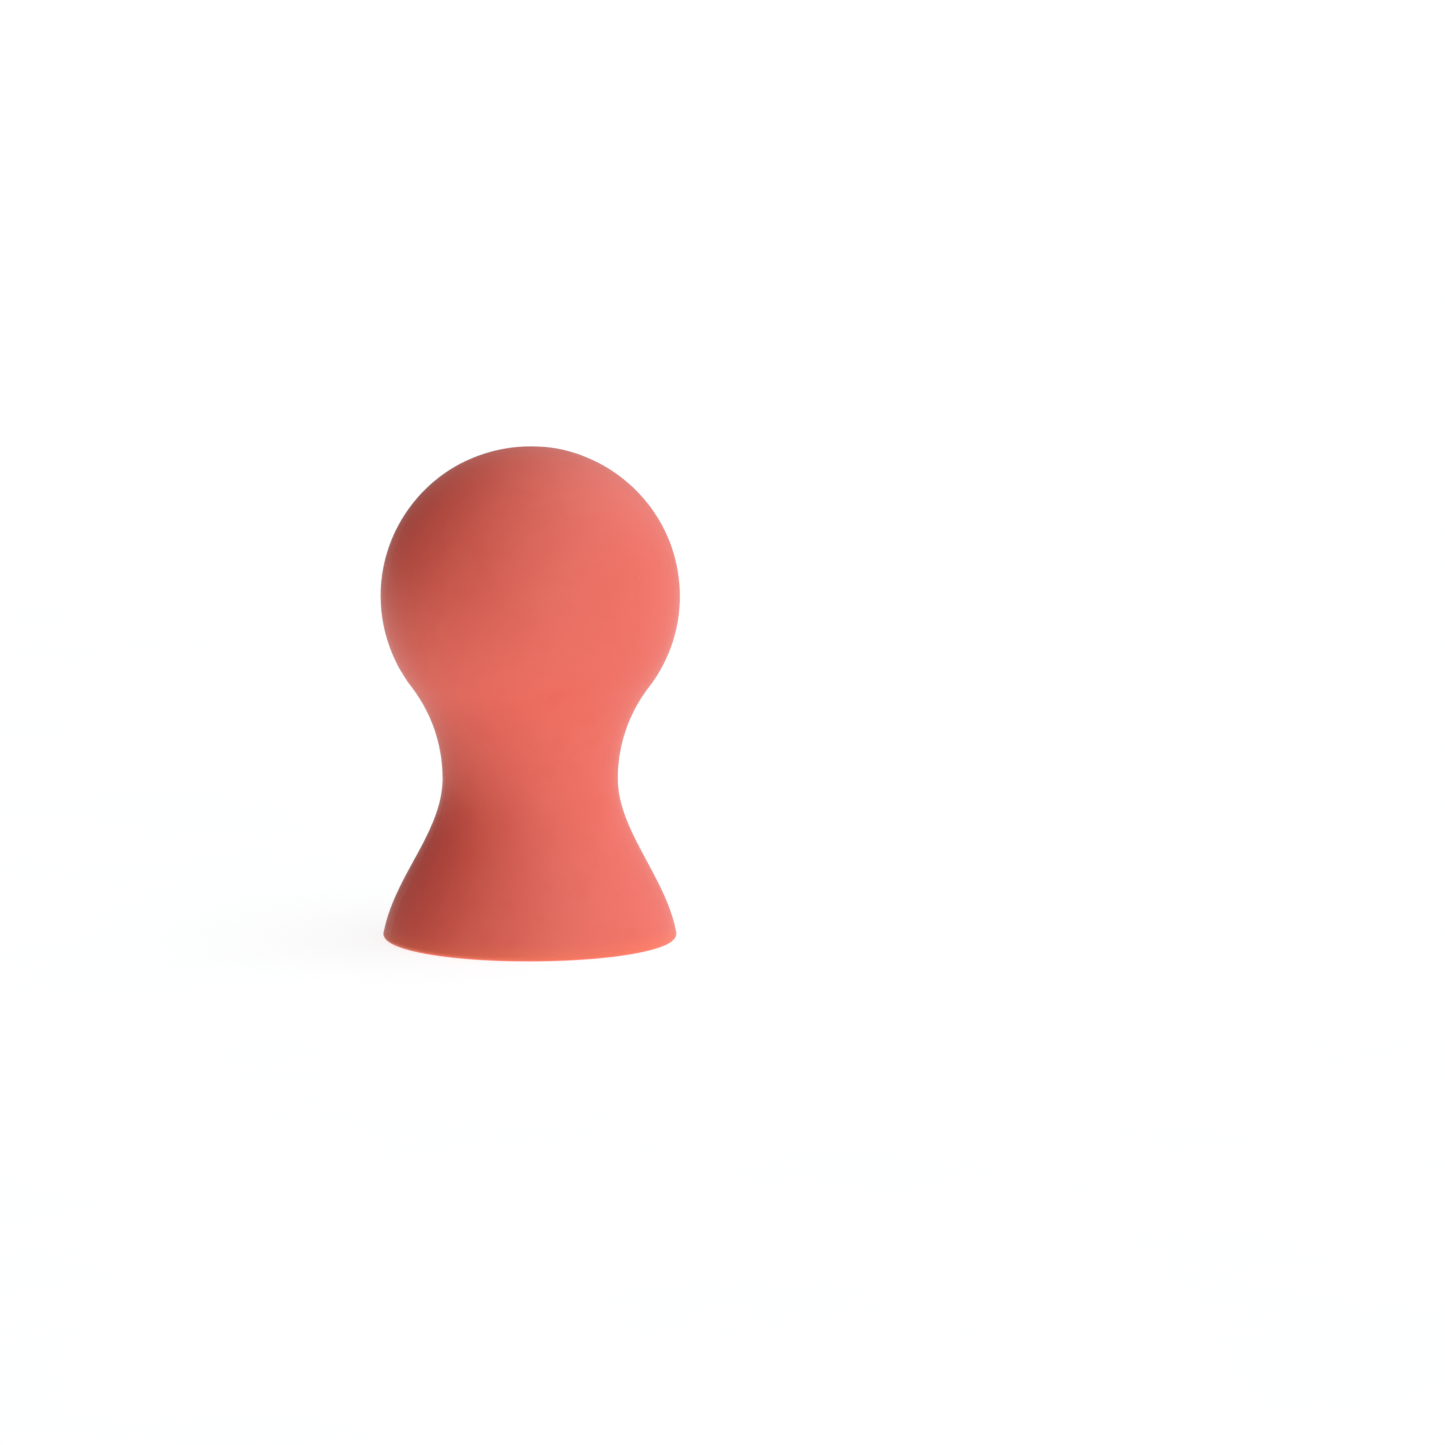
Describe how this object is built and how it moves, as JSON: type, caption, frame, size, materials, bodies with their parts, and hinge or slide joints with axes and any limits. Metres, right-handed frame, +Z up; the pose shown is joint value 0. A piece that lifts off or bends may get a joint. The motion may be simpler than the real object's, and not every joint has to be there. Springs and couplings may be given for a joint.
{
  "type": "silicone cupping cup",
  "caption": "Hollow one-piece silicone squeeze bulb on a narrow flexible neck with a flared round mouth; squeezing the bulb and letting go draws skin into the mouth.",
  "frame": {"origin": "centre of the mouth's contact plane, where the cup stands", "axes": "+Z up the cup's own axis from the mouth to the bulb's crown; X is the direction in which thumb and finger squeeze the bulb; Y runs through the moulding's parting line"},
  "size_m": [0.0362, 0.0362, 0.06],
  "materials": {
    "coral_silicone": "matte to satin moulded silicone, even coral colour"
  },
  "bodies": {
    "mouth": {"sealing_lip": "coral_silicone", "mouth_skirt": "coral_silicone"},
    "neck": {"neck": "coral_silicone"},
    "bulb": {"bulb_shoulder": "coral_silicone", "bulb_frame": "coral_silicone"},
    "thumb_pad": {"thumb_pad": "coral_silicone"},
    "finger_pad": {"finger_pad": "coral_silicone"},
    "front_wall": {"front_wall": "coral_silicone"},
    "rear_wall": {"rear_wall": "coral_silicone"},
    "crown": {"bulb_crown": "coral_silicone"}
  },
  "joints": [
    {"name": "neck_nod", "type": "hinge", "parent": "mouth", "child": "neck", "pos_m": [0, 0, 0.0196], "axis": [1, 0, 0], "range_deg": [-12, 12], "stiffness_Nm_per_rad": 0.24},
    {"name": "neck_sway", "type": "hinge", "parent": "neck", "child": "bulb", "pos_m": [0, 0, 0.0196], "axis": [0, 1, 0], "range_deg": [-12, 12], "stiffness_Nm_per_rad": 0.24},
    {"name": "thumb_press", "type": "slide", "parent": "bulb", "child": "thumb_pad", "axis": [1, 0, 0], "range_m": [0, 0.008], "stiffness_N_per_m": 900},
    {"name": "finger_press", "type": "slide", "parent": "bulb", "child": "finger_pad", "axis": [-1, 0, 0], "range_m": [0, 0.008], "stiffness_N_per_m": 900},
    {"name": "front_spread", "type": "slide", "parent": "bulb", "child": "front_wall", "axis": [0, -1, 0], "range_m": [0, 0.0028], "stiffness_N_per_m": 900},
    {"name": "rear_spread", "type": "slide", "parent": "bulb", "child": "rear_wall", "axis": [0, 1, 0], "range_m": [0, 0.0028], "stiffness_N_per_m": 900},
    {"name": "crown_press", "type": "slide", "parent": "bulb", "child": "crown", "axis": [0, 0, -1], "range_m": [0, 0.004], "stiffness_N_per_m": 900}
  ],
  "couplings": [
    {"joint": "finger_press", "follows": "thumb_press", "ratio": 1},
    {"joint": "front_spread", "follows": "thumb_press", "ratio": 0.35},
    {"joint": "rear_spread", "follows": "thumb_press", "ratio": 0.35}
  ]
}
